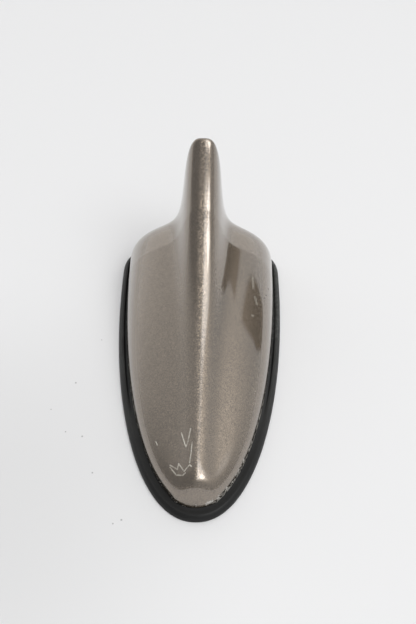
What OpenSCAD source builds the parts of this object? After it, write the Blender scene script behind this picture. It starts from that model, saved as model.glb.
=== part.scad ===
// Shark fin roof aerial: a painted cover on a rubber gasket, with its base plate, board and radiators.
// Nose towards -Y, tail towards +Y, X across. z = 0 is the roof, and the fixing bolt runs up the Z axis.
// Along the aerial, s is the distance from the cover's nose, measured at its rim.

/* [Cover outline] */
// Length of the cover along its rim, nose to tail
cover_l = 136; // [122:1:150]
// Width of the cover at its rim
cover_w = 68.2; // [62:0.2:74]
// Length of the rounded tail behind the widest point
tail_bow = 15.5; // [12:0.5:20]
// How full the nose is in plan, 2 is an ellipse
nose_power = 2.05; // [1.9:0.01:2.6]
// How square the tail corners are in plan
tail_power = 3.4; // [2.8:0.05:4.5]
// Wall of the moulded cover
wall = 2.5; // [1.8:0.1:3]

/* [Crown] */
// Height of the crown's shoulder at the nose, above the rim
nose_h = 8.4; // [7:0.1:11]
// Height of the crown beside the fin, above the rim
crown_h = 29.1; // [25:0.1:33]
// Distance of the crown's highest point from the tail
crown_back = 25.5; // [20:0.5:32]
// How the crown climbs, 1 is a straight line
crown_climb = 1.2; // [0.9:0.05:1.4]
// Rise for each millimetre of run on the steep face at the nose
nose_slope = 1.8; // [1.4:0.1:2.6]
// Length over which the crown rounds down to the tail
tail_round = 20.4; // [16:0.1:26]
// Fullness of that rounding, 2 is an ellipse
tail_round_power = 2.44; // [2:0.02:3.2]
// Roundness of the crown across, 2 is an ellipse
crown_power = 2.36; // [2:0.02:2.8]

/* [Fin] */
// Height of the fin's tip above the rim
fin_h = 72.3; // [64:0.1:78]
// Distance of the tip from the tail
tip_back = 5.1; // [4:0.1:8]
// How late the leading edge sweeps up, 1 is a straight line
fin_sweep = 5.7; // [4:0.1:7]
// Length over which the fin's top rounds down to its back edge
fin_back = 6.4; // [5:0.1:9]
// Fullness of that rounding, 2 is an ellipse
fin_back_power = 2.93; // [2.2:0.01:3.4]
// Half thickness of the fin at its root, at the tip's station
fin_half = 8.7; // [7.8:0.1:10]
// Half thickness of the low ridge that runs to the nose
ridge_half = 7.2; // [5:0.1:8.6]
// Height of that ridge over the crown at the nose
ridge_h = 2.2; // [1:0.1:4]
// Fullness of the ridge across at the nose, 2 is an ellipse
ridge_power = 1.9; // [1.6:0.05:2.4]
// Fullness of the fin across, 2 is an ellipse
fin_power = 3.34; // [2.6:0.02:3.6]
// Tightness of the valley beside the ridge at the nose
nose_blend = 6; // [4:0.5:9]
// Tightness of the fillet where the fin leaves the crown
root_blend = 2.67; // [2.4:0.01:4]

/* [Gasket] */
// Width of the gasket
gasket_w = 75.4; // [72:0.2:82]
// How far the gasket reaches past the cover's nose
gasket_nose = 4.5; // [3:0.1:6]
// How far the gasket reaches past the cover's tail
gasket_tail = 3.5; // [2.5:0.1:5]
// How full the gasket's nose is in plan
gasket_nose_power = 2.15; // [2:0.01:2.6]
// How square the gasket's tail corners are in plan
gasket_tail_power = 3.2; // [2.8:0.1:5]
// Height of the cover's rim above the roof
rim_z = 2.6; // [2.2:0.1:3.4]
// Thickness of the web under the base plate
web_t = 1.2; // [0.8:0.1:1.6]
// Width of the web inside the cover's rim
web_w = 3.5; // [3:0.1:4.5]
// Depth of the groove beside the cover's rim
groove_d = 1.3; // [0.6:0.1:1.5]

/* [Base plate] */
// Thickness of the cast plate
plate_t = 2.4; // [2:0.1:3]
// Gap between the plate's edge and the cover's wall
plate_gap = 0.3; // [0.2:0.1:0.8]
// Depth of the weight-saving pockets in its underside
pocket_d = 1; // [0.6:0.1:1.2]
// Width of the ribs between the pockets
rib_w = 1.6; // [1.2:0.1:2.4]
// Distance between rib centres
rib_pitch = 11; // [9:0.5:14]
// Outside diameter of the fixing boss
boss_d = 13; // [12:0.5:14]
// Height of the fixing boss above the plate
boss_h = 6; // [5:0.5:8]

/* [Fixing] */
// Outside diameter of the threaded insert
insert_d = 9; // [8:0.1:10]
// Bore of the insert's thread
thread_d = 5; // [4.2:0.1:6.8]
// Diameter of the earth ring
earth_d = 18; // [15:0.5:20]
// Diameter of the cover screws
screw_d = 2.8; // [2.4:0.1:3]
// Head diameter of the cover screws
screw_head_d = 5.6; // [5:0.1:6]
// Head height of the cover screws
screw_head_h = 1.6; // [1.2:0.1:1.8]
// Length of the cover screws under the head
screw_l = 6.5; // [5:0.5:8]

/* [Boards] */
// Clear height between the plate and the main board
post_h = 3.4; // [3:0.1:5]
// Thickness of the main board
board_t = 1.6; // [1:0.1:2]
// Thickness of the upright fin board
blade_t = 1.2; // [0.8:0.1:1.6]
// Side of the square satellite patch
patch_w = 20; // [18:1:22]
// Thickness of the satellite patch
patch_t = 4; // [2:0.5:4.5]
// Side of each square plug socket
socket_w = 11.5; // [10.5:0.1:12]
// Distance between socket centres
socket_pitch = 12.5; // [12.2:0.1:14]
// Bore of the sockets
socket_bore = 8.6; // [7.6:0.1:9]

/* [Hidden] */
$fn = 48;

// Tessellation of the lofted skins
skin_stations = 64;
skin_points = 46;
liner_points = 26;
plan_steps = 44;
fine_steps = 240;
arc_steps = 90;
tiny = 0.001;

// Places along the aerial, and the fixed blends of the skin
gasket_l = cover_l + gasket_nose + gasket_tail;
nose_y = gasket_nose - gasket_l / 2;
shoulder_blend = 5;
tip_blend = 19.8;
ridge_face = 1.1;
fin_inset = 1.5;
fin_taper = 0.9;
fin_share_max = 0.98;

// Heights in the stack
plate_z = web_t;
plate_top = plate_z + plate_t;
board_z = plate_top + post_h;
board_top = board_z + board_t;
plate_inset = wall + plate_gap + (plate_top - rim_z) / nose_slope;
land_w = 3;
skim = 0.25;

// Cover screws: one at the nose, a pair ahead of the board's wide part, a pair at the tail
screw_clear = 0.2;
screw_boss_d = 6.4;
screw_inset = 10.6;
bore_gap = 0.5;
boss_bite = wall / 4;
nose_screw_s = 18.5;
front_screw_s = 40.5;
tail_screw_s = cover_l - 19.5;
front_screw_x = rim_half(front_screw_s, screw_inset);
tail_screw_x = rim_half(tail_screw_s, screw_inset);
screw_sites = [[0, y_at(nose_screw_s)],
    [front_screw_x, y_at(front_screw_s)], [-front_screw_x, y_at(front_screw_s)],
    [tail_screw_x, y_at(tail_screw_s)], [-tail_screw_x, y_at(tail_screw_s)]];

// Satellite patch and its amplifier
patch_gap = 1;
patch_y = -boss_d / 2 - patch_w / 2 - patch_gap;
pad_t = 0.6;
pin_d = 0.9;
can_w = 17;
can_h = 2.6;
sheet_t = 0.3;

// Main board, its posts and its screws
post_d = 5;
post_bore = 2.2;
board_screw_d = 2;
board_head_d = 4.2;
board_head_h = 1.4;
board_screw_l = 3.6;
post_y = 4;
post_edge = 4;
post_end = 5;
nose_room = 10;
board_front = patch_y - patch_w / 2 - nose_room;
board_back = y_at(cover_l - 15);
board_tongue = 12;
board_gap = 0.3;
board_half = min(20, tail_screw_x - screw_boss_d / 2 - board_gap);
post_x = board_half - post_edge;
board_corner = 4;
tongue_corner = 3;
board_widens = [-10, -2];
post_sites = [[0, board_front + post_edge], [post_x, post_y], [-post_x, post_y],
    [post_x, board_back - post_end], [-post_x, board_back - post_end]];

// Plug sockets in their well, behind the fixing bolt
socket_y = 18;
socket_z = 0.8;
socket_roof = 1;
contact_d = 1.2;
well_gap = 0.25;
key_w = 1.4;
key_h = 0.7;
well_x = 2 * socket_pitch + socket_w + 2 * well_gap;
well_y = socket_w + 2 * well_gap;

// Seal round the hole in the roof, narrower at its front where the gasket closes in
seal_r = 5;
seal_w = 3;
seal_gap = 0.6;
seal_half = well_x / 2 + 4;
seal_front = -earth_d / 2 - seal_w - 0.5;
seal_back = socket_y + well_y / 2 + 4;
function seal_half_at(y) = min(seal_half, rim_half(y - nose_y, plate_inset + web_w) - seal_gap);

// Rib round the plate's edge, and the height of the screw heads
edge_gap = 1.8;
edge_h = 2;
edge_inset = wall + edge_gap + (plate_top + edge_h - rim_z) / nose_slope;
edge_w = 1.4;
head_z = 0.5;

// Upright board and what it carries: the top load lies along the fin's inner crest
load_s = cover_l - 23;
load_gap = 3.5;
load_mid_y = y_at(load_s);
load_mid_z = rim_z + crest(load_s, wall) - load_gap;
load_slope = atan((crest(load_s + 1, wall) - crest(load_s - 1, wall)) / 2);
load_l = 30;
load_w = 6.4;
load_h = 6;
load_t = 0.45;
load_low = load_mid_y - load_l / 2 * cos(load_slope);
load_high = load_mid_y + load_l / 2 * cos(load_slope);
blade_toe = 10;
contact_room = 1.5;
blade_front = max(load_low - blade_toe, socket_y + contact_d / 2 + contact_room);
blade_end = 8;
blade_back = y_at(cover_l - blade_end);
blade_chin = 9;
tab_l = 6;
tab_reach = 0.4;
tab_gap = 0.1;
tab_in = 8;
tab_ys = [blade_front + tab_in, board_back - tab_in];
band_top = 28;
band_w = 3;
band_drop = 8;
strip_w = 3;
coil_edge = 9.4;
coil_x = board_half - coil_edge;
coil_y = y_at(cover_l - 30);
coil_d = 6;
coil_h = 9;
coil_wire = 0.9;
flange_over = 0.8;
flange_t = 1;
pad_size = 6;
pad_gap = 0.15;
pad_mid = [load_mid_y + 6.5, 33];
vent_y = y_at(cover_l - 22);
vent_d = 8;
vent_room = 0.4;
vent_x = post_d / 2 + vent_d / 2 + vent_room - post_x;

// Curves of the skin
function unit(u) = min(max(u, 0), 1);
function rise(u, power) = pow(1 - pow(1 - unit(u), power), 1 / power);
function soft_min(a, b, power) = pow(pow(max(a, tiny), -power) + pow(max(b, tiny), -power), -1 / power);
function y_at(s) = nose_y + s;

// Half width of a plan outline of length l, at distance s from its own nose
function half_width(s, half_w, l, bow, front, rear) =
    s < l - bow ? half_w * rise(s / (l - bow), front) : half_w * rise((l - s) / bow, rear);

// Half width of the cover at its rim, taken in by cut
function rim_half(s, cut) =
    half_width(s - cut, cover_w / 2 - cut, cover_l - 2 * cut, tail_bow - cut, nose_power, tail_power);

// Height of the crown over the rim at station s, before and after the nose and tail are rounded
function crown_top(s) = nose_h + (crown_h - nose_h) * pow(unit(s / (cover_l - crown_back)), crown_climb);
function crown_at(s, cut) =
    soft_min(nose_slope * (s - cut), crown_top(s) - cut, shoulder_blend)
        * rise((cover_l - cut - s) / tail_round, tail_round_power);

// 0 where the ridge starts at the nose, and 1 under the fin's tip
function fin_share(s) = unit(s / cover_l) * cover_l / (cover_l - tip_back);
function between(at_nose, at_tip, s) = at_nose + (at_tip - at_nose) * unit(fin_share(s));

// Height of the ridge and fin over the rim at station s
function fin_at(s, cut) =
    let (sweep = (fin_h - crown_h - ridge_h) * pow(fin_share(s), fin_sweep))
    let (top = soft_min(crown_top(s) + ridge_h + sweep, fin_h, tip_blend) - fin_inset * cut)
    soft_min(nose_slope * ridge_face * (s - cut), top, shoulder_blend)
        * rise((cover_l - cut - s) / fin_back, fin_back_power);

// Half thickness of the ridge and fin at rim level
function fin_half_at(s, cut) =
    min(between(ridge_half, fin_half, s) - fin_taper * cut, fin_share_max * max(rim_half(s, cut), tiny));

// Distance from the rim's centre line to the skin at angle a: the crown and the fin, blended
function lobe(a, half_w, h, power) =
    pow(pow(abs(cos(a)) / half_w, power) + pow(abs(sin(a)) / h, power), -1 / power);
function section_r(a, s, cut) =
    let (crown = lobe(a, max(rim_half(s, cut), tiny), max(crown_at(s, cut), tiny), crown_power))
    let (power = between(ridge_power, fin_power, s), blend = between(nose_blend, root_blend, s))
    let (fin = lobe(a, max(fin_half_at(s, cut), tiny), max(fin_at(s, cut), tiny), power))
    pow(pow(crown, blend) + pow(fin, blend), 1 / blend);

// Height of the skin over the rim on the centre line
function crest(s, cut) = section_r(90, s, cut);

// Distance of the cover's inner face from the centre line at station s and height z
function inner_x(s, z) = lookup(z - rim_z, [for (i = [0:arc_steps])
    let (a = 90 * i / arc_steps, r = section_r(a, s, wall)) [r * sin(a), r * cos(a)]]);

// Running total of the steps between the points of a curve
function running(points) =
    let (steps = [for (i = [1:len(points) - 1]) norm(points[i] - points[i - 1])])
    [for (i = 0, total = 0; i <= len(steps); total = total + (i < len(steps) ? steps[i] : 0), i = i + 1) total];

// Values of a parameter that cut a curve into n equal lengths
function even_values(values, points, n) =
    let (total = running(points))
    let (table = [for (i = [0:len(values) - 1]) [total[i], values[i]]])
    [for (i = [0:n]) lookup(total[len(total) - 1] * i / n, table)];

// Stations from nose to tail, evenly spaced along the skin's crest and rim
function stations(cut, n) =
    let (fine = [for (i = [0:fine_steps]) cut + (cover_l - 2 * cut) * (1 - cos(180 * i / fine_steps)) / 2])
    even_values(fine, [for (s = fine) [s, crest(s, cut), rim_half(s, cut)]], n);

// One half section from the rim to the crest, and then the whole arch from +X to -X
function half_arch(s, cut, n) =
    let (fine = [for (i = [0:arc_steps]) 90 * i / arc_steps])
    let (curve = [for (a = fine) section_r(a, s, cut) * [cos(a), sin(a)]])
    [for (a = even_values(fine, curve, n)) section_r(a, s, cut) * [cos(a), sin(a)]];
function arch(s, cut, n) =
    let (half = half_arch(s, cut, n / 2))
    concat([for (p = half) [p[0], y_at(s), rim_z + p[1]]],
        [for (i = [n / 2 - 1:-1:0]) [-half[i][0], y_at(s), rim_z + half[i][1]]]);

// Skin points: the nose's tip, the arches and the tail's tip
function skin(cut, n) =
    let (all = stations(cut, skin_stations))
    concat([[0, y_at(cut), rim_z]],
        [for (i = [1:skin_stations - 1]) each arch(all[i], cut, n)],
        [[0, y_at(cover_l - cut), rim_z]]);

// Triangles of a skin whose points start at index base, facing outwards
function quad(a, b, c, d) = [[a, b, c], [a, c, d]];
function skin_index(base, n, i, j) = base + 1 + (i - 1) * (n + 1) + j;
function skin_last(base, n) = base + 1 + (skin_stations - 1) * (n + 1);
function skin_faces(base, n) = concat(
    [for (j = [0:n - 1]) [base, skin_index(base, n, 1, j + 1), skin_index(base, n, 1, j)]],
    [for (i = [1:skin_stations - 2], j = [0:n - 1]) each quad(skin_index(base, n, i, j),
        skin_index(base, n, i, j + 1), skin_index(base, n, i + 1, j + 1), skin_index(base, n, i + 1, j))],
    [for (j = [0:n - 1]) [skin_last(base, n), skin_index(base, n, skin_stations - 1, j),
        skin_index(base, n, skin_stations - 1, j + 1)]]);
function flipped(faces) = [for (f = faces) [f[0], f[2], f[1]]];

// Rim of a skin on one side, from the nose's tip to the tail's tip
function rim_line(base, n, j) = concat([base], [for (i = [1:skin_stations - 1]) skin_index(base, n, i, j)],
    [skin_last(base, n)]);
function rim_faces(outer, inner) =
    [for (i = [0:skin_stations - 1]) each quad(outer[i], outer[i + 1], inner[i + 1], inner[i])];

module shell() {
    outer = skin(0, skin_points);
    inner = skin(wall, liner_points);
    start = len(outer);
    right = rim_faces(rim_line(0, skin_points, 0), rim_line(start, liner_points, 0));
    left = rim_faces(rim_line(0, skin_points, skin_points), rim_line(start, liner_points, liner_points));
    polyhedron(concat(outer, inner),
        concat(skin_faces(0, skin_points), flipped(skin_faces(start, liner_points)),
            right, flipped(left)), convexity = 8);
}

// Underside of the crown, without its fin, at distance x from the centre line
function liner_z(x, s) =
    rim_z + crown_at(s, wall) * pow(max(1 - pow(x / rim_half(s, wall), crown_power), 0), 1 / crown_power);

// Painted cover, moulded in one piece with its screw bosses
module cover() {
    color([0.47, 0.43, 0.38])
    difference() {
        union() {
            shell();
            for (site = screw_sites) {
                top = liner_z(abs(site[0]) + screw_boss_d / 2, site[1] - nose_y) + boss_bite;
                translate([site[0], site[1], plate_top]) cylinder(d = screw_boss_d, h = top - plate_top);
            }
        }
        for (site = screw_sites) translate([site[0], site[1], head_z + screw_head_h])
            cylinder(d = screw_d + screw_clear, h = screw_l + bore_gap);
    }
}

// Points of a plan outline taken in by cut, counter-clockwise from the nose
function both_sides(half) = concat(half, [for (i = [len(half) - 2:-1:1]) [-half[i][0], half[i][1]]]);
function plan_half(cut) =
    [for (i = [0:plan_steps]) let (s = cut + (cover_l - 2 * cut) * (1 - cos(180 * i / plan_steps)) / 2)
        [rim_half(s, cut), y_at(s)]];
function plan(cut) = both_sides(plan_half(cut));

// Points of the gasket's outline: f = 0 is the cover's rim and f = 1 the gasket's edge
function mix(a, b, f) = a + (b - a) * f;
function lip_half(f) =
    let (l = cover_l + f * (gasket_nose + gasket_tail))
    [for (i = [0:plan_steps]) let (s = l * (1 - cos(180 * i / plan_steps)) / 2)
        [half_width(s, mix(cover_w, gasket_w, f) / 2, l, tail_bow + f * gasket_tail,
            mix(nose_power, gasket_nose_power, f), mix(tail_power, gasket_tail_power, f)),
            y_at(s - f * gasket_nose)]];
function lip(f) = both_sides(lip_half(f));

// Rubber gasket: web, step for the plate, seat for the rim, groove, bead and outer lip
module gasket() {
    lip_t = 0.7;
    bead_over = 0.2;
    slope_end = 0.86;
    bead = [0.62, 0.4];
    groove = [0.24, 0.03];
    seat = 0.02;
    floor_z = rim_z - groove_d;
    rings = [[plan(plate_inset + web_w), 0], [lip(1), 0], [lip(1), lip_t], [lip(slope_end), rim_z - 0.6],
        [lip(bead[0]), rim_z + bead_over], [lip(bead[1]), rim_z], [lip(groove[0]), floor_z],
        [lip(groove[1]), floor_z], [lip(seat), rim_z], [plan(plate_inset - plate_gap / 2), rim_z],
        [plan(plate_inset - plate_gap / 2), web_t], [plan(plate_inset + web_w), web_t]];
    n = 2 * plan_steps;
    k = len(rings);
    points = [for (ring = rings) each [for (p = ring[0]) [p[0], p[1], ring[1]]]];
    faces = [for (i = [0:k - 1], j = [0:n - 1]) each quad(i * n + j, ((i + 1) % k) * n + j,
        ((i + 1) % k) * n + (j + 1) % n, i * n + (j + 1) % n)];
    color([0.13, 0.13, 0.13]) polyhedron(points, faces, convexity = 8);
}

module seal_shape(grow) {
    r = seal_r + grow;
    hull() for (side = [-1, 1]) {
        translate([side * (seal_half_at(seal_front) - seal_r), seal_front + seal_r]) circle(r, $fn = 32);
        translate([side * (seal_half_at(seal_back) - seal_r), seal_back - seal_r]) circle(r, $fn = 32);
    }
}

// Die-cast base plate with its edge rib, ribbed underside, fixing boss, posts and socket well
module base_plate() {
    color([0.62, 0.63, 0.65])
    difference() {
        union() {
            translate([0, 0, plate_z]) linear_extrude(plate_t) polygon(plan(plate_inset));
            translate([0, 0, plate_top]) linear_extrude(edge_h) difference() {
                polygon(plan(edge_inset));
                polygon(plan(edge_inset + edge_w));
                for (site = screw_sites) translate(site) circle(d = screw_boss_d + 2);
            }
            translate([0, 0, plate_top]) cylinder(d = boss_d, h = boss_h);
            for (site = post_sites) translate([site[0], site[1], plate_top]) cylinder(d = post_d, h = post_h);
        }
        translate([0, 0, plate_z - 1]) cylinder(d = insert_d, h = plate_t + boss_h + 2);
        translate([-well_x / 2, socket_y - well_y / 2, plate_z - 1]) cube([well_x, well_y, plate_t + 2]);
        for (site = screw_sites) translate([site[0], site[1], 0]) {
            cylinder(d = screw_d + screw_clear + 0.2, h = plate_top + 1);
            cylinder(d = screw_head_d + 0.6, h = head_z + screw_head_h);
        }
        for (site = post_sites) translate([site[0], site[1], plate_top])
            cylinder(d = post_bore, h = post_h + 1);
        translate([vent_x, vent_y, plate_z - 1]) cylinder(d = vent_d - 4, h = plate_t + 2);
        translate([0, 0, plate_z - 1]) linear_extrude(pocket_d + 1) pockets();
    }
}

// Outline of the pockets: the plate inside its land, less the ribs and the lands round the holes
module pockets() {
    across = floor(cover_w / 2 / rib_pitch);
    along = floor(cover_l / 2 / rib_pitch);
    difference() {
        polygon(plan(plate_inset + web_w + land_w));
        for (i = [-across:across]) translate([i * rib_pitch - rib_w / 2, nose_y]) square([rib_w, cover_l]);
        for (i = [-along:along]) translate([-cover_w / 2, i * rib_pitch - rib_w / 2]) square([cover_w, rib_w]);
        seal_shape(land_w - 1);
        for (site = screw_sites) translate(site) circle(d = screw_head_d + 4);
        translate([vent_x, vent_y]) circle(d = vent_d + 2);
    }
}

// Moulded rubber ring between the plate and the roof, round the hole in the roof
module opening_seal() {
    color([0.16, 0.16, 0.17]) linear_extrude(web_t) difference() {
        seal_shape(0);
        seal_shape(-seal_w);
    }
}

// Steel insert that takes the fixing bolt
module fixing_insert() {
    color([0.78, 0.7, 0.42]) translate([0, 0, plate_z]) difference() {
        cylinder(d = insert_d, h = plate_t + boss_h);
        translate([0, 0, -1]) cylinder(d = thread_d, h = plate_t + boss_h + 2);
    }
}

// Toothed ring that bites the roof for the earth
module earth_ring() {
    teeth = 12;
    tooth_w = 2;
    color([0.72, 0.73, 0.75]) {
        difference() {
            union() {
                translate([0, 0, web_t - 0.5]) cylinder(d = earth_d - 3, h = 0.5);
                for (i = [0:teeth - 1]) rotate(i * 360 / teeth)
                    translate([earth_d / 2 - 3, -tooth_w / 2, 0.1]) cube([2.4, tooth_w, web_t - 0.1]);
            }
            translate([0, 0, -1]) cylinder(d = insert_d + 1, h = web_t + 2);
        }
    }
}

module pan_screw(d, l, head_d, head_h) {
    difference() {
        union() {
            cylinder(d = d, h = l);
            translate([0, 0, -head_h]) rotate_extrude() polygon([[0, 0], [head_d / 2 - 0.4, 0],
                [head_d / 2, 0.5], [head_d / 2, head_h], [0, head_h]]);
        }
        for (turn = [0, 90]) rotate(turn) translate([-head_d / 4, -0.35, -head_h - 1])
            cube([head_d / 2, 0.7, 1 + head_h / 2]);
    }
}

module cover_screws() {
    color([0.55, 0.56, 0.58]) for (site = screw_sites)
        translate([site[0], site[1], head_z + screw_head_h])
            pan_screw(screw_d, screw_l, screw_head_d, screw_head_h);
}

module main_board() {
    slot_w = blade_t + 2 * tab_gap;
    color([0.1, 0.36, 0.2]) translate([0, 0, board_z]) linear_extrude(board_t) difference() {
        for (side = [0, 1]) mirror([side, 0]) polygon([[-tiny, board_front],
            [board_tongue - tongue_corner, board_front], [board_tongue, board_front + tongue_corner],
            [board_tongue, board_widens[0]], [board_half, board_widens[1]],
            [board_half, board_back - board_corner], [board_half - board_corner, board_back],
            [-tiny, board_back]]);
        circle(d = boss_d + 1);
        for (site = post_sites) translate(site) circle(d = post_bore + 0.2);
        for (y = tab_ys) translate([-slot_w / 2, y - tab_l / 2 - tab_gap])
            square([slot_w, tab_l + 2 * tab_gap]);
        for (i = [-1:1]) translate([i * socket_pitch, socket_y]) circle(d = contact_d + 0.1, $fn = 24);
        translate([0, patch_y]) circle(d = pin_d + 0.1, $fn = 24);
    }
}

module board_screws() {
    color([0.75, 0.75, 0.77]) for (site = post_sites)
        translate([site[0], site[1], board_top]) mirror([0, 0, 1])
            pan_screw(board_screw_d, board_screw_l, board_head_d, board_head_h);
}

// Chips and filters on the main board, as [x, y, width, length, height]
module board_parts() {
    side = board_half - 3;
    parts = [[-12, board_back - 13, 7, 7, 1], [-12, board_back - 23, 4, 3, 1.2], [side, 12, 4, 4, 1.4],
        [-side, 13, 4, 5, 1.2], [8, 8, 3, 2, 0.8], [-8, 8, 3, 2, 0.8], [side - 2, 28, 4, 4, 1.1]];
    color([0.14, 0.14, 0.15]) for (p = parts)
        translate([p[0] - p[2] / 2, p[1] - p[3] / 2, board_top]) cube([p[2], p[3], p[4]]);
}

module patch_pad() {
    color([0.85, 0.85, 0.82]) translate([0, patch_y, board_top]) linear_extrude(pad_t) difference() {
        square(patch_w - 1, center = true);
        circle(d = pin_d + 1, $fn = 24);
    }
}

module satellite_patch() {
    color([0.86, 0.8, 0.68]) translate([0, patch_y, board_top + pad_t]) linear_extrude(patch_t) difference() {
        square(patch_w, center = true);
        for (i = [-1, 1]) translate([i * patch_w / 2, i * patch_w / 2]) rotate(45) square(2, center = true);
        circle(d = pin_d + 0.1, $fn = 24);
    }
}

module patch_pin() {
    patch_top = board_top + pad_t + patch_t;
    color([0.85, 0.7, 0.35]) translate([0, patch_y, 0]) {
        translate([0, 0, board_z - 0.5]) cylinder(d = pin_d, h = patch_top - board_z + 0.5, $fn = 24);
        translate([0, 0, patch_top]) cylinder(d = 2.2, h = 0.3, $fn = 24);
    }
}

// Tinned can over the amplifier under the patch
module amplifier_can() {
    color([0.78, 0.79, 0.8]) translate([0, patch_y, board_z - can_h]) difference() {
        translate([-can_w / 2, -can_w / 2, 0]) cube([can_w, can_w, can_h]);
        translate([sheet_t - can_w / 2, sheet_t - can_w / 2, sheet_t])
            cube([can_w - 2 * sheet_t, can_w - 2 * sheet_t, can_h]);
    }
}

// One plug socket, open towards the roof, with keys at the given angles
module plug_socket(x, keys) {
    h = board_z - socket_z;
    translate([x, socket_y, socket_z]) {
        difference() {
            translate([-socket_w / 2, -socket_w / 2, 0]) cube([socket_w, socket_w, h]);
            translate([0, 0, -1]) cylinder(d = socket_bore, h = h - socket_roof + 1);
            cylinder(d = contact_d + 0.1, h = h + 1, $fn = 24);
        }
        for (turn = keys) rotate(turn) translate([socket_bore / 2 - key_h, -key_w / 2, 1])
            cube([key_h + 0.3, key_w, h - socket_roof - 1]);
    }
}
module radio_socket() color([0.92, 0.9, 0.84]) plug_socket(-socket_pitch, [0, 90]);
module phone_socket() color([0.48, 0.1, 0.22]) plug_socket(0, [45, 180]);
module satellite_socket() color([0.12, 0.25, 0.55]) plug_socket(socket_pitch, [90, 225]);

module socket_contacts() {
    color([0.85, 0.7, 0.35]) for (i = [-1:1]) translate([i * socket_pitch, socket_y, socket_z + 1])
        cylinder(d = contact_d, h = board_top + 0.6 - socket_z - 1, $fn = 24);
}

// Straight line along the top edge of the upright board, under the top load
function load_z(y) = load_mid_z + (y - load_mid_y) * tan(load_slope);

module fin_board() {
    color([0.12, 0.4, 0.24]) translate([-blade_t / 2, 0, 0]) rotate([90, 0, 90]) linear_extrude(blade_t) {
        polygon([[blade_front, board_top], [blade_back, board_top], [blade_back, load_mid_z],
            [load_high + 2, load_z(load_high)], [load_high, load_z(load_high)], [load_low, load_z(load_low)],
            [blade_front, board_top + blade_chin]]);
        for (y = tab_ys) translate([y - tab_l / 2, board_z - tab_reach])
            square([tab_l, board_t + tab_reach + tiny]);
    }
}

// Copper foil of the phone aerial: up the board's back edge, along a band and down again
module phone_radiator() {
    back = [blade_back - 4, blade_back - 2];
    drop = [load_mid_y - 2, load_mid_y + 1];
    low = band_top - band_w;
    color([0.8, 0.52, 0.3]) translate([-blade_t / 2 - sheet_t, 0, 0]) rotate([90, 0, 90])
        linear_extrude(sheet_t) polygon([[back[0], board_top + 1], [back[1], board_top + 1],
            [back[1], band_top], [drop[0], band_top], [drop[0], low - band_drop], [drop[1], low - band_drop],
            [drop[1], low], [back[0], low]]);
}

// Folded sheet saddle over the board's top edge
module top_load() {
    r = load_w / 2;
    seat = skim - (r - load_t);
    color([0.8, 0.8, 0.8]) translate([0, load_mid_y, load_mid_z]) rotate([load_slope, 0, 0])
        translate([0, load_l / 2, seat]) rotate([90, 0, 0]) linear_extrude(load_l) {
            difference() {
                circle(r);
                circle(r - load_t);
                translate([-r - 1, -2 * r]) square([2 * r + 2, 2 * r]);
            }
            for (side = [-1, 1]) translate([side * (r - load_t / 2) - load_t / 2, r - load_h])
                square([load_t, load_h - r]);
        }
}

// Tinned strip that joins the coil to the saddle, on the board's other face
module feed_strip() {
    half = strip_w / 2;
    low = board_top + coil_h + 4;
    high = low + 2 * strip_w;
    top = load_mid_z - 2;
    color([0.8, 0.8, 0.8]) translate([blade_t / 2, 0, 0]) rotate([90, 0, 90]) linear_extrude(sheet_t)
        polygon([[coil_y - half, board_top + 0.5], [coil_y + half, board_top + 0.5], [coil_y + half, low],
            [load_mid_y + half, high], [load_mid_y + half, top], [load_mid_y - half, top],
            [load_mid_y - half, high + 1], [coil_y - half, low + 1]]);
}

// Spool of the loading coil, with a flange at each end
module coil_former() {
    rim = coil_d / 2 + flange_over;
    core = coil_d / 2 - coil_wire;
    color([0.9, 0.89, 0.85]) translate([coil_x, coil_y, board_top]) rotate_extrude()
        polygon([[0, 0], [rim, 0], [rim, flange_t], [core, flange_t], [core, coil_h - flange_t],
            [rim, coil_h - flange_t], [rim, coil_h], [0, coil_h]]);
}

// Close-wound wire of the loading coil, each turn a rounded ridge
module loading_coil() {
    turns = floor((coil_h - 2 * flange_t) / coil_wire);
    start = board_top + (coil_h - turns * coil_wire) / 2;
    inner = coil_d / 2 - coil_wire + 0.02;
    color([0.72, 0.38, 0.2]) translate([coil_x, coil_y, start]) rotate_extrude() union() {
        translate([inner, 0]) square([coil_wire / 2, turns * coil_wire]);
        for (i = [0:turns - 1]) translate([inner + coil_wire / 2, (i + 0.5) * coil_wire])
            circle(d = coil_wire, $fn = 16);
    }
}

// Foam blocks that wedge the fin board in the fin
module rattle_pads() {
    start = blade_t / 2 + skim;
    reach = inner_x(pad_mid[0] - pad_size / 2 - nose_y, pad_mid[1] + pad_size / 2) - pad_gap - start;
    color([0.25, 0.25, 0.26]) for (side = [-1, 1])
        translate([side * (start + reach / 2), pad_mid[0], pad_mid[1]])
            cube([reach, pad_size, pad_size], center = true);
}

module vent_membrane() {
    color([0.93, 0.93, 0.93]) translate([vent_x, vent_y, plate_top]) cylinder(d = vent_d, h = 0.3);
}

cover();
gasket();
base_plate();
opening_seal();
fixing_insert();
earth_ring();
cover_screws();
main_board();
board_screws();
board_parts();
patch_pad();
satellite_patch();
patch_pin();
amplifier_can();
radio_socket();
phone_socket();
satellite_socket();
socket_contacts();
fin_board();
phone_radiator();
top_load();
feed_strip();
coil_former();
loading_coil();
rattle_pads();
vent_membrane();
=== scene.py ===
"""Shark fin roof aerial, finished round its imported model: the painted cover, the rubber gasket it sits on,
the cast plate, sockets and screws under it, and the boards and radiators that it holds."""
import math

import bmesh
import bpy
import numpy as np
from mathutils import Matrix, Vector


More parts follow.
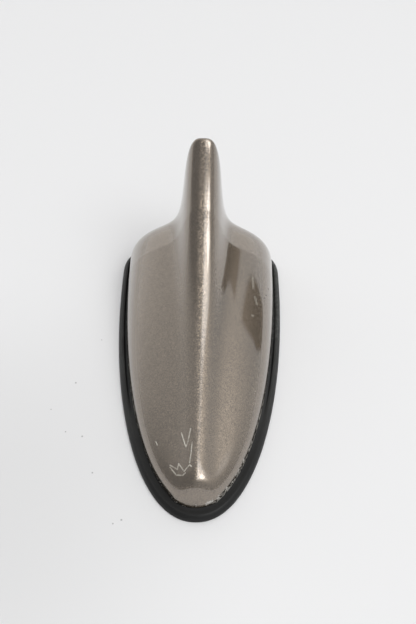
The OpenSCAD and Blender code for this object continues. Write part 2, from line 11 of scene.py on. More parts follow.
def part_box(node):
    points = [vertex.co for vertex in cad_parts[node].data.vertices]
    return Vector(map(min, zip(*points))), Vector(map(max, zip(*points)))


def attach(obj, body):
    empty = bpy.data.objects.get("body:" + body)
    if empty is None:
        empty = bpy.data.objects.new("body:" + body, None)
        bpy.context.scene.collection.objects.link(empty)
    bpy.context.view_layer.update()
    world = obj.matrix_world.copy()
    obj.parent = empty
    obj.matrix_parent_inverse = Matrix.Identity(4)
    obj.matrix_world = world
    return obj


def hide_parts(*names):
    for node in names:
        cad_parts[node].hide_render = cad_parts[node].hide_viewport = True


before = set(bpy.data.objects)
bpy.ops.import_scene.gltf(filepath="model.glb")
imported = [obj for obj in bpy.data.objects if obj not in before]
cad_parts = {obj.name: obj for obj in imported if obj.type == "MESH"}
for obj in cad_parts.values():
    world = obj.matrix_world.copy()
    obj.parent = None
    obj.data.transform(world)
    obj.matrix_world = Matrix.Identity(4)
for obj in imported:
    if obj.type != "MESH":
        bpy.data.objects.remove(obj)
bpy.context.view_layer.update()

# Camera
# The aerial lies on a white table and is seen from above its nose, from a little over a quarter metre away.
MM = 0.001
view_from = Vector((0.86, -180.42, 249.62)) * MM
look_down = math.radians(49.76)
look_right = math.radians(0.77)
head_tilt = math.radians(1.81)
lens = 40.38

sight = Vector((
    math.sin(look_right) * math.cos(look_down),
    math.cos(look_right) * math.cos(look_down),
    -math.sin(look_down),
))
level = Vector((math.cos(look_right), -math.sin(look_right), 0))
upright = level.cross(sight)
across = math.cos(head_tilt) * level + math.sin(head_tilt) * upright
upward = math.cos(head_tilt) * upright - math.sin(head_tilt) * level

camera = bpy.data.objects.new("camera", bpy.data.cameras.new("camera"))
bpy.context.scene.collection.objects.link(camera)
bpy.context.scene.camera = camera
camera.data.lens = lens
camera.data.clip_start = 0.01
camera.matrix_world = Matrix((across, upward, -sight)).transposed().to_4x4()
camera.location = view_from
bpy.context.scene.view_settings.view_transform = "Standard"

# Table and light
# A sheet of white paper carries the aerial, with a painted shadow that greys it round a spot to the front
# left of the aerial. A large soft light fills the room's front right, from the floor to over the aerial,
# with a softbox in it. The room is pale behind, dim at the front left, and has a dark post on the right.
table_half = 1.5
paper_white = (0.86, 0.86, 0.865)
paper_painted_shadow = (0.66, 0.66, 0.66)
painted_shadow_centre = (-0.095, -0.075, 0)
speck_grey = (0.3, 0.3, 0.3)
specks = [(-52.5, -10.5, 0.5), (-53.5, -34.5, 0.4), (-46.5, -36.5, 0.5), (-40.5, -52.5, 0.45)]
specks += [(-27.5, -71.5, 0.5), (-30.5, -73.0, 0.4), (-44.0, 13.0, 0.35), (-61.0, -24.0, 0.35)]
room_left = 0.33
room_right = 0.52
room_back = 0.98
room_light = 2.9
room_floor = 0.86
post_dark = 0.0
light_corners = [(11.0, 80.0, 0.06), (85.2, 29.0, 0.65), (123.7, 24.8, 0.3), (178.8, 35.5, 0.13)]
post_corners = [(60, -2.5), (60.4, 22), (63.4, 46), (66.3, 36), (68.6, 16), (67, 2)]
post_soft = 0.012
softbox_place = Vector((0.62, -0.40, 0.90))
softbox_w, softbox_l = 0.5, 0.4


def node(tree, kind, values=None, **settings):
    """A node of that kind, with its properties set and its sockets filled or linked."""
    made = tree.nodes.new("ShaderNode" + kind)
    for key, value in settings.items():
        setattr(made, key, value)
    for socket, value in (values or {}).items():
        if isinstance(value, bpy.types.NodeSocket):
            tree.links.new(value, made.inputs[socket])
        else:
            made.inputs[socket].default_value = value
    return made


def mixed(tree, factor, first, second):
    return node(tree, "Mix", {0: factor, 6: first, 7: second}, data_type="RGBA").outputs[2]


def ranged(tree, value, low, high, to_low=0.0, to_high=1.0):
    """A value brought from one range into another, and kept in it."""
    return node(tree, "MapRange", {0: value, 1: low, 2: high, 3: to_low, 4: to_high}).outputs[0]


def maths(tree, operation, first, second=0.0):
    return node(tree, "Math", {0: first, 1: second}, operation=operation).outputs[0]


def vectors(tree, operation, first, second=(0, 0, 0)):
    """A sum of vectors, or the number that it comes to."""
    made = node(tree, "VectorMath", {0: first, 1: second}, operation=operation)
    return made.outputs["Value" if operation in ("DISTANCE", "DOT_PRODUCT") else "Vector"]


def scaled(tree, vector, factor):
    return node(tree, "VectorMath", {0: vector, "Scale": factor}, operation="SCALE").outputs["Vector"]


def new_finish(name, colour, roughness, metallic=0.0):
    """A material with its colour and roughness set, and its tree, shader and object coordinates."""
    finish = bpy.data.materials.new(name)
    finish.use_nodes = True
    tree = finish.node_tree
    shader = tree.nodes["Principled BSDF"]
    shader.inputs["Base Color"].default_value = (*colour, 1)
    shader.inputs["Roughness"].default_value = roughness
    shader.inputs["Metallic"].default_value = metallic
    place = node(tree, "TexCoord").outputs["Object"]
    return finish, tree, shader, place


def new_piece(name, bm, finishes):
    """An object made of a finished bmesh, with its materials, linked into the scene."""
    mesh = bpy.data.meshes.new(name)
    bm.to_mesh(mesh)
    bm.free()
    piece = bpy.data.objects.new(name, mesh)
    bpy.context.scene.collection.objects.link(piece)
    for finish in finishes:
        mesh.materials.append(finish)
    return piece


paper, tree, shader, place = new_finish("paper", paper_white, 0.9)
shader.inputs["Specular IOR Level"].default_value = 0.1
# Painted shadow: the paper turns grey towards a spot to the front left of the aerial.
off_painted_shadow = vectors(tree, "DISTANCE", place, painted_shadow_centre)
painted_shadow = {0: off_painted_shadow, 1: 0.02, 2: 0.13, 3: 0.5, 4: 0.0}
painted_shadow = node(tree, "MapRange", painted_shadow, interpolation_type="SMOOTHSTEP").outputs[0]
shade = mixed(tree, painted_shadow, (*paper_white, 1), (*paper_painted_shadow, 1))
for x, y, width in specks:
    off = vectors(tree, "DISTANCE", place, Vector((x, y, 0)) * MM)
    dot = ranged(tree, off, 0.4 * width * MM, width * MM, 0.7, 0.0)
    shade = mixed(tree, dot, shade, (*speck_grey, 1))
tree.links.new(shade, shader.inputs["Base Color"])
table_mesh = bmesh.new()
bmesh.ops.create_grid(table_mesh, x_segments=2, y_segments=2, size=table_half)
new_piece("table", table_mesh, [paper])

room = bpy.data.worlds.new("room")
bpy.context.scene.world = room
room.use_nodes = True
tree = room.node_tree
direction = node(tree, "TexCoord").outputs["Generated"]
spread = node(tree, "SeparateXYZ", {"Vector": direction}).outputs


def blended(share, first, second):
    """A brightness of the room, share of the way from the first to the second."""
    return node(tree, "Mix", {0: share, 2: first, 3: second}).outputs[0]


def patch(corners):
    """1 in the direction of a patch of the room and 0 off it. A corner is the azimuth from +Y towards +X,
    the elevation, and how soft the edge to the next corner is."""
    spots = []
    for azimuth, elevation, soft in corners:
        turn, lift = math.radians(azimuth), math.radians(elevation)
        level = math.cos(lift)
        spots.append(Vector((level * math.sin(turn), level * math.cos(turn), math.sin(lift))))
    middle = sum(spots, Vector())
    mask = 1.0
    for first, second, corner in zip(spots, spots[1:] + spots[:1], corners):
        inward = first.cross(second).normalized()
        if inward.dot(middle) < 0:
            inward = -inward
        past = vectors(tree, "DOT_PRODUCT", direction, inward)
        mask = maths(tree, "MULTIPLY", mask, ranged(tree, past, 0.0, corner[2]))
    return mask


front = ranged(tree, spread["X"], -0.2, 0.15, room_left, room_right)
bright = blended(ranged(tree, spread["Y"], -0.05, 0.5), front, room_back)
bright = blended(patch(light_corners), bright, room_light)
post = patch([(*corner, post_soft) for corner in post_corners])
bright = blended(post, bright, post_dark)
bright = blended(ranged(tree, spread["Z"], -0.02, 0.0), room_floor, bright)
tree.links.new(bright, tree.nodes["Background"].inputs["Strength"])
tree.nodes["Background"].inputs["Color"].default_value = (1, 1, 1, 1)

lamp = bpy.data.lights.new("soft_light", "AREA")
lamp.shape = "RECTANGLE"
lamp.size = softbox_w
lamp.size_y = softbox_l
lamp.energy = room_light * math.pi * softbox_w * softbox_l
softbox = bpy.data.objects.new("soft_light", lamp)
bpy.context.scene.collection.objects.link(softbox)
softbox.location = softbox_place
softbox.rotation_mode = "QUATERNION"
softbox.rotation_quaternion = (-softbox_place).to_track_quat("-Z", "Y")

# Cover
# One moulding in weatherproof resin, sprayed bronze metallic and clear coated, and screwed to the plate from
# below. Its skin is a low crown with a ridge that runs up into the fin. The paint is chipped along the rim,
# where it sat in its gasket, and has thin pale bare lines at the nose.
cover_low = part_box("cover")[0] / MM
cover_l = 136
cover_w = 68.2
nose_y = cover_low.y
rim_z = cover_low.z
tail_bow = 15.5
nose_power = 2.05
tail_power = 3.4
wall = 2.5
nose_h = 8.4
crown_h = 29.1
crown_back = 25.5
crown_climb = 1.2
nose_slope = 1.8
tail_round = 20.4
tail_round_power = 2.44
crown_power = 2.36
fin_h = 72.3
tip_back = 5.1
fin_sweep = 5.7
fin_back = 6.4
fin_back_power = 2.93
fin_half = 8.7
fin_taper = 0.9
fin_inset = 1.5
fin_power = 3.34
ridge_half = 7.2
ridge_h = 2.2
ridge_face = 1.1
ridge_power = 1.9
nose_blend = 6
root_blend = 2.67
shoulder_blend = 5
tip_blend = 19.8
fin_share_max = 0.98
tiny = 0.001
web_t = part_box("base_plate")[0].z / MM
plate_t = 2.4
plate_top = web_t + plate_t
screw_boss_d = 6.4
screw_bore_d = 3
screw_bore_z = 9.1
screw_inset = 10.6
nose_screw_s = 18.5
front_screw_s = 40.5
tail_screw_s = cover_l - 19.5
boss_steps = 32
fine_points = 400
outer_stations, outer_points, inner_points = 300, 200, 60
weld = 0.002


def unit(share):
    return np.clip(share, 0, 1)


def rise(share, power):
    return (1 - (1 - unit(share)) ** power) ** (1 / power)


def soft_min(a, b, power):
    return (np.maximum(a, tiny) ** -power + np.maximum(b, tiny) ** -power) ** (-1 / power)


def half_width(s, half_w, length, bow, front, rear):
    """Half width of a plan outline at distance s from its nose."""
    ahead = half_w * rise(s / (length - bow), front)
    behind = half_w * rise((length - s) / bow, rear)
    return np.where(s < length - bow, ahead, behind)


def rim_half(s, cut):
    return half_width(s - cut, cover_w / 2 - cut, cover_l - 2 * cut, tail_bow - cut, nose_power, tail_power)


def crown_top(s):
    return nose_h + (crown_h - nose_h) * unit(s / (cover_l - crown_back)) ** crown_climb


def crown_at(s, cut):
    face = soft_min(nose_slope * (s - cut), crown_top(s) - cut, shoulder_blend)
    return face * rise((cover_l - cut - s) / tail_round, tail_round_power)


def fin_share(s):
    """0 where the ridge starts at the nose and 1 under the fin's tip."""
    return unit(s / cover_l) * cover_l / (cover_l - tip_back)


def fin_at(s, cut):
    sweep = (fin_h - crown_h - ridge_h) * fin_share(s) ** fin_sweep
    top = soft_min(crown_top(s) + ridge_h + sweep, fin_h, tip_blend) - fin_inset * cut
    face = soft_min(nose_slope * ridge_face * (s - cut), top, shoulder_blend)
    return face * rise((cover_l - cut - s) / fin_back, fin_back_power)


def fin_half_at(s, cut):
    spread = ridge_half + (fin_half - ridge_half) * unit(fin_share(s)) - fin_taper * cut
    return np.minimum(spread, fin_share_max * np.maximum(rim_half(s, cut), tiny))


def lobe(angle, half_w, height, power):
    wide = np.abs(np.cos(angle)) / np.maximum(half_w, tiny)
    high = np.abs(np.sin(angle)) / np.maximum(height, tiny)
    return (wide**power + high**power) ** (-1 / power)


def section_r(angle, s, cut):
    """Distance from the rim's centre line to the skin, at that angle over the horizontal."""
    grown = unit(fin_share(s))
    power = ridge_power + (fin_power - ridge_power) * grown
    blend = nose_blend + (root_blend - nose_blend) * grown
    crown = lobe(angle, rim_half(s, cut), crown_at(s, cut), crown_power)
    fin = lobe(angle, fin_half_at(s, cut), fin_at(s, cut), power)
    return (crown**blend + fin**blend) ** (1 / blend)


def even_values(values, points, count):
    """The values of a parameter that cut a curve of points into count equal lengths."""
    steps = np.linalg.norm(np.diff(points, axis=0), axis=1)
    run = np.concatenate([[0], np.cumsum(steps)])
    return np.interp(np.linspace(0, run[-1], count + 1), run, values)


def skin_places(cut, stations, points):
    """Rows of places on the skin from nose to tail, each from the right rim over the crest to the left."""
    turn = np.linspace(0, math.pi, fine_points)
    fine = cut + (cover_l - 2 * cut) * (1 - np.cos(turn)) / 2
    crest = section_r(math.pi / 2, fine, cut)
    rows = []
    for s in even_values(fine, np.stack([fine, crest, rim_half(fine, cut)], 1), stations):
        turn = np.linspace(0, math.pi / 2, fine_points)
        r = section_r(turn, s, cut)
        turn = even_values(turn, np.stack([r * np.cos(turn), r * np.sin(turn)], 1), points // 2)
        turn = np.concatenate([turn, math.pi - turn[-2::-1]])
        r = section_r(turn, s, cut)
        y = np.full_like(r, nose_y + s)
        rows.append(np.stack([r * np.cos(turn), y, rim_z + r * np.sin(turn)], 1))
    return rows


def skin_sheet(bm, cut, stations, points):
    """A grid laid on the skin taken in by cut, with its nose and tail rows closed."""
    sheet = bmesh.ops.create_grid(bm, x_segments=points, y_segments=stations, size=1)["verts"]
    rows = skin_places(cut, stations, points)
    for vert in sheet:
        row = rows[round((vert.co.y + 1) / 2 * stations)]
        vert.co = Vector(row[round((vert.co.x + 1) / 2 * points)]) * MM
    bmesh.ops.remove_doubles(bm, verts=sheet, dist=weld * MM)


front_screw_x = float(rim_half(front_screw_s, screw_inset))
tail_screw_x = float(rim_half(tail_screw_s, screw_inset))
screw_sites = [(0, nose_screw_s), (front_screw_x, front_screw_s), (-front_screw_x, front_screw_s)]
screw_sites += [(tail_screw_x, tail_screw_s), (-tail_screw_x, tail_screw_s)]
cover_mesh = bmesh.new()
skin_sheet(cover_mesh, 0, outer_stations, outer_points)
bmesh.ops.recalc_face_normals(cover_mesh, faces=cover_mesh.faces)
outer_faces = set(cover_mesh.faces)
outer_plan = [(vert.co.x, vert.co.y, vert.co.z) for vert in cover_mesh.verts]
skin_sheet(cover_mesh, wall, outer_stations, inner_points)
for face in cover_mesh.faces:
    if face not in outer_faces:
        face.material_index = 1
rims = [edge for edge in cover_mesh.edges if edge.is_boundary]
bmesh.ops.bridge_loops(cover_mesh, edges=rims)


def turned(bm, profile, x, y):
    """A turned shape on an upright axis at x, y, from its (radius, height) profile."""
    spots = [bm.verts.new(Vector((x + radius, y, z)) * MM) for radius, z in profile]
    line = [bm.edges.new(pair) for pair in zip(spots, spots[1:])]
    bmesh.ops.spin(
        bm,
        geom=spots + line,
        cent=Vector((x, y, 0)) * MM,
        axis=(0, 0, 1),
        angle=2 * math.pi,
        steps=boss_steps,
        use_merge=True,
    )


def liner_z(x, s):
    """Height of the crown's inner face, x off the centre line."""
    bulge = (1 - (x / rim_half(s, wall)) ** crown_power) ** (1 / crown_power)
    return rim_z + float(crown_at(s, wall) * bulge)


bosses = bmesh.new()
for x, s in screw_sites:
    top = liner_z(abs(x) + screw_boss_d / 2, s) + wall / 4
    outline = [(0, top), (screw_boss_d / 2, top), (screw_boss_d / 2, plate_top)]
    outline += [(screw_bore_d / 2, plate_top), (screw_bore_d / 2, screw_bore_z), (0, screw_bore_z)]
    turned(bosses, outline, x, nose_y + s)
bmesh.ops.remove_doubles(bosses, verts=bosses.verts, dist=0.0005 * MM)
for face in bosses.faces:
    face.material_index = 1
bosses_shape = bpy.data.meshes.new("bosses")
bosses.to_mesh(bosses_shape)
bosses.free()
cover_mesh.from_mesh(bosses_shape)
bpy.data.meshes.remove(bosses_shape)
bmesh.ops.recalc_face_normals(cover_mesh, faces=cover_mesh.faces)
for face in cover_mesh.faces:
    face.smooth = True


def on_skin(x, y):
    """The place on the painted skin straight above x, y, in metres."""
    return min(outer_plan, key=lambda spot: (spot[0] - x * MM) ** 2 + (spot[1] - y * MM) ** 2)


def stroke_group():
    """A node group that is 1 on the line from Start to End and 0 further off than Width."""
    group = bpy.data.node_groups.new("stroke", "ShaderNodeTree")
    for name, kind in (("Place", "Vector"), ("Start", "Vector"), ("End", "Vector"), ("Width", "Float")):
        group.interface.new_socket(name, in_out="INPUT", socket_type="NodeSocket" + kind)
    group.interface.new_socket("Mask", in_out="OUTPUT", socket_type="NodeSocketFloat")
    given = group.nodes.new("NodeGroupInput").outputs
    reach = vectors(group, "SUBTRACT", given["Place"], given["Start"])
    run = vectors(group, "SUBTRACT", given["End"], given["Start"])
    along = vectors(group, "DOT_PRODUCT", reach, run)
    whole = vectors(group, "DOT_PRODUCT", run, run)
    share = ranged(group, maths(group, "DIVIDE", along, whole), 0.0, 1.0)
    off = vectors(group, "DISTANCE", reach, scaled(group, run, share))
    mask = ranged(group, maths(group, "DIVIDE", off, given["Width"]), 0.4, 1.0, 1.0, 0.0)
    group.links.new(mask, group.nodes.new("NodeGroupOutput").inputs["Mask"])
    return group


stroke = stroke_group()


def strokes(tree, place, line, width):
    """A mask of the line through points on the skin, width millimetres to each side. One point is a dot."""
    spots = [Vector(on_skin(*spot)) for spot in line]
    if len(spots) == 1:
        spots.append(spots[0] + Vector((0, 0, 0.01)) * MM)
    mask = 0.0
    for start, end in zip(spots, spots[1:]):
        made = tree.nodes.new("ShaderNodeGroup")
        made.node_tree = stroke
        tree.links.new(place, made.inputs["Place"])
        made.inputs["Start"].default_value = start
        made.inputs["End"].default_value = end
        made.inputs["Width"].default_value = width * MM
        mask = maths(tree, "MAXIMUM", mask, made.outputs[0])
    return mask


def marks(tree, place, lines):
    """A mask of several lines, each given with its width."""
    mask = 0.0
    for line, width in lines:
        mask = maths(tree, "MAXIMUM", mask, strokes(tree, place, line, width))
    return mask


def noise(tree, place, scale, detail, roughness=0.5):
    values = {"Vector": place, "Scale": scale, "Detail": detail, "Roughness": roughness}
    return node(tree, "TexNoise", values).outputs["Fac"]


def uneven(tree, shader, height, strength, depth_mm):
    """The shader's surface bumped by a height, as deep as depth_mm."""
    values = {"Height": height, "Strength": strength, "Distance": depth_mm * MM}
    tree.links.new(node(tree, "Bump", values).outputs["Normal"], shader.inputs["Normal"])


bronze = (0.24, 0.196, 0.152)
bronze_deep = (0.21, 0.17, 0.131)
primer_pale = (0.46, 0.44, 0.40)
pale_cream = (0.72, 0.69, 0.60)
dot_black = (0.01, 0.01, 0.01)
flake_size = 0.32
flake_tilt = 0.14
nose_wear_h = 3.4
tail_wear_h = 3.0
pale_lines = [
    ([(-5.9, -43.3), (-4.7, -47.6), (-4.0, -48.9), (-3.2, -47), (-2.5, -42)], 0.3),
    ([(-1.8, -47.6), (-2.1, -52), (-2.5, -55.5)], 0.25),
    ([(-9.9, -54.3), (-7.1, -56.7), (-6.6, -54.7), (-4.5, -58.3), (-2.5, -55.9), (-1.8, -56.7)], 0.3),
    ([(-9.9, -55.5), (-7.4, -58.6), (-5.0, -59.4), (-4.1, -58.6)], 0.3),
    ([(-15.9, -44.2), (-15.2, -45.9)], 0.25),
]
rubs = [
    ([(22.9, 30.5), (23.2, 26)], 0.9),
    ([(24.0, 21.5), (24.4, 18.5)], 0.9),
    ([(22.7, 11.8)], 0.9),
]
black_dots = [([(30.6, 31.1)], 0.55), ([(29.2, 26.5)], 0.55), ([(28.5, 24.5)], 0.55)]
paint_rough = 0.27
bare_rough = 0.6
rim_wear = 0.27
right_wear = 0.11
left_wear = 0.15

paint, tree, shader, place = new_finish("bronze_paint", bronze, paint_rough, 1.0)
shader.inputs["Coat Weight"].default_value = 1.0
shader.inputs["Coat Roughness"].default_value = 0.03
shader.inputs["Coat IOR"].default_value = 1.9
flakes = node(tree, "TexVoronoi", {"Vector": place, "Scale": 1 / (flake_size * MM)}).outputs["Color"]
tint = mixed(tree, noise(tree, place, 60.0, 3.0), (*bronze_deep, 1), (*bronze, 1))
chance = node(tree, "SeparateColor", {0: flakes}).outputs[0]
tint = scaled(tree, tint, ranged(tree, chance, 0.0, 1.0, 0.78, 1.22))
tilt = scaled(tree, vectors(tree, "SUBTRACT", flakes, (0.5, 0.5, 0.5)), flake_tilt)
facing = vectors(tree, "ADD", node(tree, "NewGeometry").outputs["Normal"], tilt)
tree.links.new(vectors(tree, "NORMALIZE", facing), shader.inputs["Normal"])

spot = node(tree, "SeparateXYZ", {"Vector": place}).outputs
wear_h = ranged(tree, spot["Y"], -0.06, 0.03, nose_wear_h * MM, tail_wear_h * MM)
above = maths(tree, "DIVIDE", maths(tree, "SUBTRACT", spot["Z"], rim_z * MM), wear_h)
over_rim = ranged(tree, above, 0.5, 1.6, 1.0, 0.0)
ragged = noise(tree, place, 600.0, 5.0, 0.7)
stretch = ranged(tree, noise(tree, place, 90.0, 2.0), 0.35, 0.6, -0.07, 0.02)
right_side = ranged(tree, spot["X"], -0.004, 0.014, 0.0, right_wear)
left_patch = strokes(tree, place, [(-31.2, 7), (-28.5, -17), (-26.5, -25)], 6.0)
side = maths(tree, "MAXIMUM", right_side, maths(tree, "MULTIPLY", left_patch, left_wear))
broken = maths(tree, "ADD", maths(tree, "ADD", ragged, stretch), side)
worn = maths(tree, "ADD", maths(tree, "MULTIPLY", over_rim, rim_wear), broken)
chipped = ranged(tree, worn, 0.835, 0.87)
black_dotted = marks(tree, place, black_dots)
broken_line = ranged(tree, ragged, 0.38, 0.58, 0.25, 0.9)
pale_lined = maths(tree, "MULTIPLY", marks(tree, place, pale_lines), broken_line)
rubbed = maths(tree, "MULTIPLY", marks(tree, place, rubs), 0.35)
tint = mixed(tree, rubbed, tint, (*pale_cream, 1))
tint = mixed(tree, pale_lined, tint, (*pale_cream, 1))
tint = mixed(tree, chipped, tint, (*primer_pale, 1))
tint = mixed(tree, black_dotted, tint, (*dot_black, 1))
tree.links.new(tint, shader.inputs["Base Color"])
bare = maths(tree, "MAXIMUM", maths(tree, "MAXIMUM", pale_lined, chipped), black_dotted)
tree.links.new(ranged(tree, bare, 0.0, 1.0, 1.0, 0.0), shader.inputs["Metallic"])
tree.links.new(ranged(tree, bare, 0.0, 1.0, paint_rough, bare_rough), shader.inputs["Roughness"])

resin, tree, shader, place = new_finish("bare_resin", (0.045, 0.045, 0.047), 0.55)
grain = noise(tree, place, 900.0, 4.0)
tree.links.new(ranged(tree, grain, 0.3, 0.7, 0.5, 0.66), shader.inputs["Roughness"])
uneven(tree, shader, grain, 0.2, 0.1)

cover = new_piece("painted_cover", cover_mesh, [paint, resin])
cover.data.set_sharp_from_angle(angle=math.radians(50))
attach(cover, "root")
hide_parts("cover")

# Gasket
# One moulding in black rubber, under the cover's rim. It is a thin web inside the rim and a rounded bead and
# lip outside it. Its upper faces are dusted grey, and lightened by a painted sheen the more they face up.
gasket_w = 75.4
gasket_nose = 4.5
gasket_tail = 3.5
gasket_nose_power = 2.15
gasket_tail_power = 3.2
plate_gap = 0.3
plate_inset = wall + plate_gap + (plate_top - rim_z) / nose_slope
web_w = 3.5
groove_d = 1.3
groove_start = 35
groove_run = 30
groove_least = 0.12
gasket_steps = 480
rounding = 0.22
rubber_black = (0.011, 0.011, 0.011)
dust_and_sheen_grey = (0.085, 0.088, 0.085)


def plan(cut, turn):
    """Places round the cover's outline taken in by cut, from turn 0 at the nose up the right side."""
    s = cut + (cover_l - 2 * cut) * (1 - np.cos(turn)) / 2
    side = np.where(turn > math.pi, -1, 1)
    return side * rim_half(s, cut), nose_y + s


def lip(share, turn):
    """The same round the gasket: share 0 is the cover's rim and share 1 the gasket's edge."""
    length = cover_l + share * (gasket_nose + gasket_tail)
    s = length * (1 - np.cos(turn)) / 2
    side = np.where(turn > math.pi, -1, 1)
    half = half_width(
        s,
        (cover_w + share * (gasket_w - cover_w)) / 2,
        length,
        tail_bow + share * gasket_tail,
        nose_power + share * (gasket_nose_power - nose_power),
        tail_power + share * (gasket_tail_power - tail_power),
    )
    return side * half, nose_y + s - share * gasket_nose


turn = np.linspace(0, 2 * math.pi, gasket_steps + 1)
past_nose = cover_l * (1 - np.cos(turn)) / 2 - groove_start
groove_depth = groove_d * np.clip(past_nose / groove_run, groove_least, 1)
gasket_rings = [
    (plan, plate_inset + web_w, 0),
    (lip, 1, 0),
    (lip, 1, 0.7),
    (lip, 0.86, rim_z - 0.6),
    (lip, 0.62, rim_z + 0.2),
    (lip, 0.4, rim_z),
    (lip, 0.24, rim_z - groove_depth),
    (lip, 0.03, rim_z - groove_depth),
    (lip, 0.02, rim_z),
    (plan, plate_inset - plate_gap / 2, rim_z),
    (plan, plate_inset - plate_gap / 2, web_t),
    (plan, plate_inset + web_w, web_t),
]
gasket_mesh = bmesh.new()
rings = len(gasket_rings)
sheet = bmesh.ops.create_grid(gasket_mesh, x_segments=gasket_steps, y_segments=rings, size=1)["verts"]
rows = [(*shape(share, turn), z + 0 * turn) for shape, share, z in gasket_rings + gasket_rings[:1]]
for vert in sheet:
    xs, ys, zs = rows[round((vert.co.y + 1) / 2 * rings)]
    step = round((vert.co.x + 1) / 2 * gasket_steps)
    vert.co = Vector((xs[step], ys[step], zs[step])) * MM
bmesh.ops.remove_doubles(gasket_mesh, verts=gasket_mesh.verts, dist=weld * MM)
bmesh.ops.recalc_face_normals(gasket_mesh, faces=gasket_mesh.faces)
for face in gasket_mesh.faces:
    face.smooth = True

rubber, tree, shader, place = new_finish("gasket_rubber", rubber_black, 0.5)
shader.inputs["Specular IOR Level"].default_value = 0.28
# Upper faces are dusted and given a painted sheen, paler the more a face points up.
upward_face = node(tree, "SeparateXYZ", {"Vector": node(tree, "NewGeometry").outputs["Normal"]})
upness = ranged(tree, upward_face.outputs["Z"], 0.35, 0.95)
fine = noise(tree, place, 700.0, 6.0, 0.7)
broad = ranged(tree, noise(tree, place, 90.0, 4.0), 0.3, 0.7, 0.15, 0.5)
spot = node(tree, "SeparateXYZ", {"Vector": place}).outputs
right = ranged(tree, spot["X"], 0.02, 0.03)
rear_right = maths(tree, "MULTIPLY", right, ranged(tree, spot["Y"], 0.011, 0.015))
along = ranged(tree, spot["Y"], -0.05, 0.0, 0.15, 1.0)
dust_and_sheen = maths(tree, "MULTIPLY", maths(tree, "MULTIPLY", upness, broad), along)
scrape = maths(tree, "MULTIPLY", rear_right, ranged(tree, fine, 0.42, 0.6, 0.15, 0.9))
dust_sheen_and_scrape = maths(tree, "MAXIMUM", dust_and_sheen, scrape)
tint = mixed(tree, dust_sheen_and_scrape, (*rubber_black, 1), (*dust_and_sheen_grey, 1))
tree.links.new(tint, shader.inputs["Base Color"])
tree.links.new(ranged(tree, dust_sheen_and_scrape, 0.0, 1.0, 0.42, 0.75), shader.inputs["Roughness"])
uneven(tree, shader, fine, 0.35, 0.15)

gasket = new_piece("rubber_gasket", gasket_mesh, [rubber])
rounded = gasket.modifiers.new("rounded", "BEVEL")
rounded.width = rounding * MM
rounded.segments = 3
rounded.limit_method = "ANGLE"
rounded.angle_limit = math.radians(28)
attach(gasket, "root")
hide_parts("gasket")


# Inner pieces
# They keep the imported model's shapes, and each gets the finish that its material has.
mask_green = (0.014, 0.11, 0.045)
track_green = (0.03, 0.2, 0.09)
solder_grey = (0.62, 0.61, 0.58)
painted_hole_shade = (0.02, 0.02, 0.02)


def dress(names, finish):
    for name in names:
        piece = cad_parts[name]
        piece.data.materials.clear()
        piece.data.materials.append(finish)


def grainy(name, colour, shade, roughness, metallic, scale, bump):
    """A finish of two close colours in a fine grain, with as much unevenness as bump."""
    finish, tree, shader, place = new_finish(name, colour, roughness, metallic)
    grain = noise(tree, place, scale, 5.0, 0.65)
    tint = mixed(tree, ranged(tree, grain, 0.35, 0.65), (*colour, 1), (*shade, 1))
    tree.links.new(tint, shader.inputs["Base Color"])
    sheen = ranged(tree, grain, 0.3, 0.7, roughness - 0.07, roughness + 0.07)
    tree.links.new(sheen, shader.inputs["Roughness"])
    uneven(tree, shader, grain, bump, 0.1)
    return finish


def board_finish(name, along):
    """Solder mask over copper: tracks in steps along the board, tinned holes with painted shade in them, and
    the laminate's weave.
    """
    finish, tree, shader, place = new_finish(name, mask_green, 0.32)
    laid = node(tree, "Mapping", {"Vector": place, "Rotation": along, "Scale": (420, 420, 420)}).outputs[0]
    brick = {"Vector": laid, "Scale": 1.0, "Mortar Size": 0.06, "Mortar Smooth": 0.1}
    tracks = node(tree, "TexBrick", brick).outputs["Fac"]
    holes = node(tree, "TexVoronoi", {"Vector": place, "Scale": 230.0, "Randomness": 0.6})
    tinned = ranged(tree, holes.outputs["Distance"], 0.13, 0.15, 1.0, 0.0)
    # Painted shade: the middle of each hole is black.
    drilled = ranged(tree, holes.outputs["Distance"], 0.06, 0.07, 1.0, 0.0)
    weave = node(tree, "TexWave", {"Vector": place, "Scale": 1100.0, "Distortion": 0.6}).outputs["Fac"]
    tint = mixed(tree, tracks, (*mask_green, 1), (*track_green, 1))
    tint = mixed(tree, tinned, tint, (*solder_grey, 1))
    tint = mixed(tree, drilled, tint, (*painted_hole_shade, 1))
    tree.links.new(tint, shader.inputs["Base Color"])
    ring = maths(tree, "SUBTRACT", tinned, drilled)
    tree.links.new(ring, shader.inputs["Metallic"])
    tree.links.new(ranged(tree, weave, 0.0, 1.0, 0.28, 0.38), shader.inputs["Roughness"])
    raised = maths(tree, "MAXIMUM", tracks, ring)
    uneven(tree, shader, maths(tree, "ADD", maths(tree, "MULTIPLY", weave, 0.15), raised), 0.5, 0.05)
    return finish


def celled(name, colour, shade, cell_mm, roughness):
    """Foam: closed cells cell_mm across, paler on their walls and dark in their hollows with painted shade.
    """
    finish, tree, shader, place = new_finish(name, colour, roughness)
    cells = {"Vector": place, "Scale": 1 / (cell_mm * MM)}
    cells = node(tree, "TexVoronoi", cells, feature="DISTANCE_TO_EDGE").outputs["Distance"]
    walls = ranged(tree, cells, 0.02, 0.25, 1.0, 0.0)
    # Painted shade: the hollows between the cell walls take the darker shade colour.
    tree.links.new(mixed(tree, walls, (*shade, 1), (*colour, 1)), shader.inputs["Base Color"])
    uneven(tree, shader, maths(tree, "ADD", walls, noise(tree, place, 180.0, 2.0)), 0.7, 0.2)
    return finish


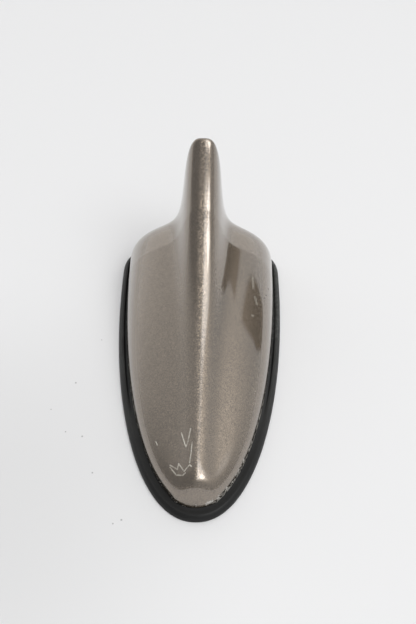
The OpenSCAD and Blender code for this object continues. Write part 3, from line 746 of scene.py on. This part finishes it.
grained = [
    (["base_plate"], "cast_alloy", (0.58, 0.59, 0.6), (0.48, 0.49, 0.5), 0.5, 0.9, 1200.0, 0.5),
    (["opening_seal"], "seal_rubber", (0.02, 0.02, 0.022), (0.03, 0.03, 0.032), 0.6, 0.0, 900.0, 0.3),
    (["fixing_insert"], "insert_brass", (0.62, 0.5, 0.26), (0.5, 0.42, 0.25), 0.3, 1.0, 700.0, 0.15),
    (["earth_ring"], "spring_steel", (0.62, 0.62, 0.63), (0.52, 0.52, 0.54), 0.28, 1.0, 900.0, 0.15),
    (
        ["cover_screws", "board_screws"], "screw_steel",
        (0.6, 0.61, 0.64), (0.5, 0.51, 0.55), 0.3, 1.0, 1500.0, 0.15,
    ),
    (["board_parts"], "chip_black", (0.02, 0.02, 0.022), (0.03, 0.03, 0.03), 0.45, 0.0, 2500.0, 0.3),
    (["satellite_patch"], "patch_ceramic", (0.6, 0.52, 0.38), (0.56, 0.48, 0.35), 0.4, 0.0, 1800.0, 0.15),
    (
        ["patch_pin", "socket_contacts"], "contact_brass",
        (0.75, 0.58, 0.28), (0.68, 0.5, 0.24), 0.22, 1.0, 1500.0, 0.1,
    ),
    (
        ["amplifier_can", "top_load", "feed_strip"], "tinplate",
        (0.66, 0.66, 0.66), (0.58, 0.58, 0.59), 0.26, 1.0, 700.0, 0.12,
    ),
    (["radio_socket"], "socket_cream", (0.78, 0.75, 0.62), (0.72, 0.69, 0.57), 0.4, 0.0, 1200.0, 0.15),
    (["phone_socket"], "socket_claret", (0.2, 0.015, 0.05), (0.17, 0.012, 0.04), 0.4, 0.0, 1200.0, 0.15),
    (["satellite_socket"], "socket_blue", (0.015, 0.05, 0.26), (0.012, 0.04, 0.21), 0.4, 0.0, 1200.0, 0.15),
    (["phone_radiator"], "radiator_copper", (0.72, 0.4, 0.24), (0.62, 0.33, 0.2), 0.3, 1.0, 900.0, 0.12),
    (["loading_coil"], "coil_copper", (0.5, 0.17, 0.07), (0.42, 0.13, 0.05), 0.25, 1.0, 900.0, 0.1),
    (["coil_former"], "former_plastic", (0.74, 0.72, 0.64), (0.68, 0.66, 0.58), 0.45, 0.0, 1200.0, 0.15),
    (["vent_membrane"], "membrane_white", (0.82, 0.82, 0.82), (0.76, 0.76, 0.76), 0.7, 0.0, 3000.0, 0.3),
]
for names, slot_name, *look in grained:
    dress(names, grainy(slot_name, *look))
dress(["main_board"], board_finish("board_green", (0, 0, 0)))
dress(["fin_board"], board_finish("fin_board_green", (0, math.pi / 2, 0)))
# Each foam's second colour is the painted shade in its cell hollows.
white_foam = celled("foam_white", (0.8, 0.8, 0.77), (0.5, 0.5, 0.48), 0.35, 0.85)
dress(["patch_pad"], white_foam)
dark_foam = celled("foam_black", (0.045, 0.045, 0.047), (0.012, 0.012, 0.012), 0.6, 0.9)
dress(["rattle_pads"], dark_foam)
